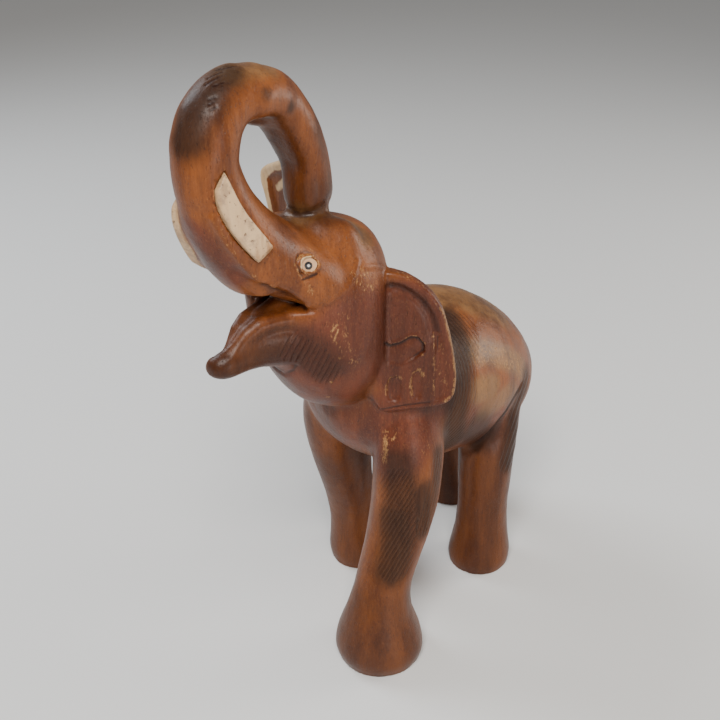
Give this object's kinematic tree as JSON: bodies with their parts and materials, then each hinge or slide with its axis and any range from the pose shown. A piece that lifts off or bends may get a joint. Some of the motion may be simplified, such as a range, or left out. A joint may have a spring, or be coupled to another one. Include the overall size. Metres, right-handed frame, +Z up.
{
  "type": "carved wooden elephant figurine",
  "caption": "Carved wooden elephant in mid stride, trunk looped up and back onto its crown, mouth open, with pale inlaid tusks and eyes.",
  "frame": {"origin": "middle of the bounding box's underside, on the plane of the four soles", "axes": "+Z up; the elephant faces -Y; its left side is +X"},
  "size_m": [0.1354, 0.3106, 0.4],
  "materials": {
    "stained_wood": "reddish brown stain, satin lacquer, burnt patches",
    "pale_tusk": "unstained pale wood, matt",
    "dowel_wood": "plain birch, unfinished",
    "eye_inlay": "cream inlay, lacquered",
    "eye_black": "polished black bead",
    "eye_pin_metal": "bright pin head"
  },
  "bodies": {
    "root": {"carved_body": "stained_wood", "tusk_left": "pale_tusk", "tusk_right": "pale_tusk", "tusk_dowel_left": "dowel_wood", "tusk_dowel_right": "dowel_wood", "eye_white_left": "eye_inlay", "eye_white_right": "eye_inlay", "eye_bead_left": "eye_black", "eye_bead_right": "eye_black", "eye_pin_left": "eye_pin_metal", "eye_pin_right": "eye_pin_metal"}
  },
  "joints": []
}
